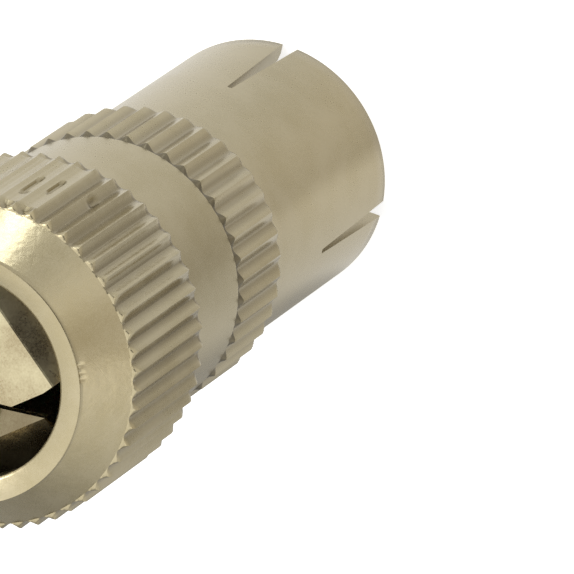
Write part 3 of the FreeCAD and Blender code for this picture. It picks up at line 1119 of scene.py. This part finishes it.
@dataclass
class Studio:
    """Pale floor, soft lamps and the camera; levels of brightness go by azimuth, from -180 to 180."""

    floor_size: float = 3.0
    eye: tuple[float, float, float] = (185.23, -150.66, 442.02)
    azimuth: float = -38.0
    elevation: float = 61.38
    roll: float = -125.69
    lens: float = 752.6
    sensor: float = 36.0
    soft_light: float = 0.35
    floor_glow: float = 0.75
    mirrored_share: float = 0.8
    middle: tuple[float, float] = (1.5, 0.0)
    close_band: tuple[float, float] = (9.0, 17.0)
    far_band: tuple[float, float] = (30.0, 70.0)
    close_floor: Pairs = (
        (-180.0, 0.4), (-160.0, 0.42), (-148.0, 0.46), (-141.0, 0.62), (-133.0, 1.0), (-84.0, 1.14),
        (-74.0, 0.8), (-50.0, 0.9), (0.0, 0.95), (50.0, 1.1), (100.0, 1.15), (140.0, 0.6), (180.0, 0.45))
    wider_floor: Pairs = (
        (-180.0, 0.3), (-162.0, 0.35), (-145.0, 0.5), (-124.0, 0.95), (-95.0, 0.75), (-76.0, 0.5),
        (-45.0, 0.72), (-20.0, 0.95), (20.0, 1.05), (50.0, 1.1), (100.0, 1.1), (140.0, 0.5), (180.0, 0.3))
    horizon: Pairs = (
        (-180.0, 0.4), (-164.0, 0.4), (-140.0, 0.88), (-120.0, 1.15), (-90.0, 0.98), (-77.0, 0.84),
        (-58.0, 0.8), (-38.0, 1.3), (-14.0, 0.76), (20.0, 1.0), (50.0, 1.1), (100.0, 1.1), (140.0, 1.3),
        (165.0, 0.6), (180.0, 0.4))
    warm_middle: float = -64.0
    warm_reach: float = 30.0
    warm_tint: Colour = (1.03, 0.95, 0.83)
    overhead: float = 1.45
    overhead_band: tuple[float, float] = (0.3, 0.85)
    behind_camera: float = 0.1
    card_drop: float = 5.0
    card_band: tuple[float, float] = (0.84, 0.96)
    lamps: tuple[Lamp, ...] = (
        Lamp("key", 62.0, 32.0, 0.5, 0.18, 0.9, (1.0, 0.99, 0.97)),
        Lamp("fill", -95.0, 25.0, 0.6, 0.30, 0.18, (1.0, 0.97, 0.93)),
        Lamp("top", 50.0, 52.0, 0.6, 0.30, 0.9, (1.0, 1.0, 1.0)),
        Lamp("low", 14.0, 7.0, 0.5, 0.14, 0.38, (0.88, 0.94, 1.0)))
    lamp_aim: float = 16.0

    def surround(self, wire: Wiring, place: bpy.types.NodeSocket, levels: Pairs) -> bpy.types.NodeSocket:
        """Brightness of the pale surroundings that metal mirrors, by azimuth.

        Args:
            wire: Wiring of the world or of the floor's material.
            place: A direction or a place on the floor.
            levels: Azimuth and brightness, from -180 to 180 degrees.

        Returns:
            A grey, about 1 on the whole.
        """
        parts = wire.parts(place)
        turn = wire.math("ARCTAN2", parts["Y"], parts["X"])
        ramp = wire.node("ShaderNodeValToRGB")
        wire.join(wire.math("MULTIPLY_ADD", turn, 1.0 / math.tau, 0.5), ramp.inputs["Fac"])
        stops = ramp.color_ramp.elements
        while len(stops) < len(levels):
            stops.new(0.5)
        for stop, (azimuth, level) in zip(stops, levels):
            stop.position = (azimuth + 180.0) / 360.0
            warmth = max(0.0, 1.0 - abs(azimuth - self.warm_middle) / self.warm_reach)
            stop.color = (*(level / 2 * (1.0 + warmth * (tint - 1.0)) for tint in self.warm_tint), 1.0)
        doubled = wire.node("ShaderNodeVectorMath", operation="SCALE")
        wire.join(ramp.outputs["Color"], doubled.inputs[0])
        doubled.inputs["Scale"].default_value = 2.0
        return doubled.outputs[0]

    def lay_floor(self) -> None:
        """One wide sheet that looks white and keeps the connector's soft shadow."""
        bpy.ops.object.select_all(action="DESELECT")
        bpy.ops.mesh.primitive_plane_add(size=self.floor_size)
        floor = bpy.context.object
        floor.name = "floor"
        material, wire, shader = new_material("pale_paper")
        place = wire.place()
        fibre = wire.noise(place, 900.0, 3.0)
        wire.join(wire.blend(fibre, (0.90, 0.90, 0.90), (0.94, 0.94, 0.94)), shader.inputs["Base Color"])
        shader.inputs["Roughness"].default_value = 0.9
        shader.inputs["Specular IOR Level"].default_value = 0.1
        path = wire.node("ShaderNodeLightPath")
        glow = wire.node("ShaderNodeEmission")
        glow.inputs["Color"].default_value = (1.0, 1.0, 1.0, 1.0)
        wire.join(wire.math("MULTIPLY", wire.straight_look(path), self.floor_glow), glow.inputs["Strength"])
        paper = wire.node("ShaderNodeAddShader")
        wire.join(shader.outputs[0], paper.inputs[0])
        wire.join(glow.outputs[0], paper.inputs[1])
        shift = wire.node("ShaderNodeMapping")
        shift.inputs["Location"].default_value = (-self.middle[0] * MM, -self.middle[1] * MM, 0.0)
        wire.join(place, shift.inputs["Vector"])
        away = wire.node("ShaderNodeVectorMath", operation="LENGTH")
        wire.join(shift.outputs[0], away.inputs[0])
        levels = self.surround(wire, shift.outputs[0], self.close_floor)
        for (low, high), further in ((self.close_band, self.wider_floor), (self.far_band, self.horizon)):
            share = wire.band(away.outputs["Value"], low * MM, high * MM)
            levels = wire.blend(share, levels, self.surround(wire, shift.outputs[0], further))
        mirrored = wire.node("ShaderNodeEmission")
        wire.join(levels, mirrored.inputs["Color"])
        total = wire.node("ShaderNodeMixShader")
        wire.join(wire.math("MULTIPLY", path.outputs["Is Glossy Ray"], self.mirrored_share), total.inputs[0])
        wire.join(paper.outputs[0], total.inputs[1])
        wire.join(mirrored.outputs[0], total.inputs[2])
        wire.join(total.outputs[0], material.node_tree.nodes["Material Output"].inputs["Surface"])
        material.cycles.emission_sampling = "NONE"
        floor.data.materials.append(material)

    def light_world(self) -> None:
        """Even grey light from all round, and the brightness that metal mirrors in each direction."""
        world = bpy.data.worlds.new("studio")
        bpy.context.scene.world = world
        world.use_nodes = True
        world.cycles.sampling_method = "NONE"
        wire = Wiring(world.node_tree)
        path = wire.node("ShaderNodeLightPath")
        plain = wire.blend(wire.straight_look(path), (self.soft_light,) * 3, (1.0, 1.0, 1.0))
        toward = wire.node("ShaderNodeTexCoord").outputs["Generated"]
        high = wire.band(wire.parts(toward)["Z"], *self.overhead_band)
        mirrored = wire.blend(high, self.surround(wire, toward, self.horizon), (self.overhead,) * 3)
        dark_card = wire.node("ShaderNodeVectorMath", operation="DOT_PRODUCT")
        wire.join(toward, dark_card.inputs[0])
        dark_card.inputs[1].default_value = outward(self.azimuth, self.elevation - self.card_drop)
        shaded = wire.band(dark_card.outputs["Value"], *self.card_band)
        mirrored = wire.blend(shaded, mirrored, (self.behind_camera,) * 3)
        wire.join(wire.blend(path.outputs["Is Glossy Ray"], plain, mirrored),
                  world.node_tree.nodes["Background"].inputs["Color"])

    def set_camera(self) -> None:
        """The photograph's view: a long lens, turned on its own axis."""
        data = bpy.data.cameras.new("camera")
        data.lens = self.lens
        data.sensor_width = self.sensor
        data.clip_start = 0.01
        camera = bpy.data.objects.new("camera", data)
        bpy.context.scene.collection.objects.link(camera)
        turn = math.radians(self.azimuth)
        rise = math.radians(self.elevation)
        upright = Matrix.Rotation(turn + math.pi / 2, 4, "Z") @ Matrix.Rotation(math.pi / 2 - rise, 4, "X")
        camera.matrix_world = (Matrix.Translation(Vector(self.eye) * MM) @ upright
                               @ Matrix.Rotation(math.radians(self.roll), 4, "Z"))
        bpy.context.scene.camera = camera

    def build(self) -> None:
        """Set the whole studio up."""
        self.lay_floor()
        self.light_world()
        for lamp in self.lamps:
            lamp.hang(Vector((0.0, 0.0, self.lamp_aim * MM)))
        self.set_camera()
        bpy.context.scene.view_settings.view_transform = "Standard"


# The finishes

# Painted shade: a dull brown that darkens the grooves, the valleys and the nut's front edge.
SHADE_BROWN = (0.16, 0.13, 0.085)
# Painted shade, near black, that darkens the nut's bore.
SHADE_BLACK = (0.035, 0.03, 0.022)
# Painted shade in the bottoms of the ring's grooves.
GROOVE_SHADE = PaintedShade(5.79, 5.99, 12.15, 16.5, 0.4, SHADE_BROWN)
# Painted shade on the end faces of the ring's ridges, next to the neck.
RING_END_SHADE = PaintedShade(6.1, 6.2, 16.24, 16.47, 0.75, (0.1, 0.085, 0.06))
# Painted shade in the valleys of the nut's knurl.
VALLEY_SHADE = PaintedShade(6.64, 6.85, 22.0, 29.0, 0.5, SHADE_BROWN)
# Painted shade on the nut's knurl at its front edge, where the ridges face down.
FRONT_EDGE_SHADE = PaintedShade(6.75, 6.95, 22.3, 22.6, 0.4, SHADE_BROWN)
# Painted shade on the clamp below the flat of its tongues, over the sloping roots.
FOLD_SHADE = PaintedShade(7.0, 8.0, 26.0, 29.76, 0.6, (0.1, 0.078, 0.045))
# Painted shade, near black, inside the nut's bore.
BORE_SHADE = PaintedShade(5.46, 5.6, 22.0, 30.4, 0.9, SHADE_BLACK)
NICKEL = Plated("satin_nickel", (0.46, 0.40, 0.26), (0.40, 0.34, 0.202), (GROOVE_SHADE, RING_END_SHADE))
NUT_NICKEL = Plated("satin_nickel_nut", (0.46, 0.40, 0.26), (0.40, 0.34, 0.202), (VALLEY_SHADE, FRONT_EDGE_SHADE, BORE_SHADE),
                    turned=0.2, scratched=0.6, dented=8.0)
SHEET = Plated("nickelled_sheet", (0.56, 0.50, 0.32), (0.30, 0.235, 0.135), (FOLD_SHADE,),
               roughness=(0.2, 0.4), turned=0.0, scratched=0.5, dented=9.0)
BRASS = Plated("turned_brass", (0.74, 0.60, 0.34), (0.62, 0.48, 0.25), turned=0.4, scratched=0.3)
ZINC = Plated("zinc_screw", (0.62, 0.63, 0.64), (0.48, 0.49, 0.50), turned=0.5, scratched=0.2)
NATURAL = Moulded("natural_polyethylene", (0.86, 0.86, 0.82), (0.76, 0.76, 0.71))


def main() -> None:
    """Build the connector's looks and the studio."""
    logging.basicConfig(level=logging.INFO, format="%(message)s")
    plating = make_plating_group()
    recess = make_recess_group()
    Sleeve(NICKEL.make(plating, recess)).build()
    ClampingNut(NUT_NICKEL.make(plating, recess)).build()
    CableClamp(SHEET.make(plating, recess)).build()
    refinish("insulator", NATURAL.make())
    refinish("centre_contact", BRASS.make(plating, recess))
    refinish("contact_screw", ZINC.make(plating, recess))
    Studio().build()


if __name__ == "__main__":
    main()
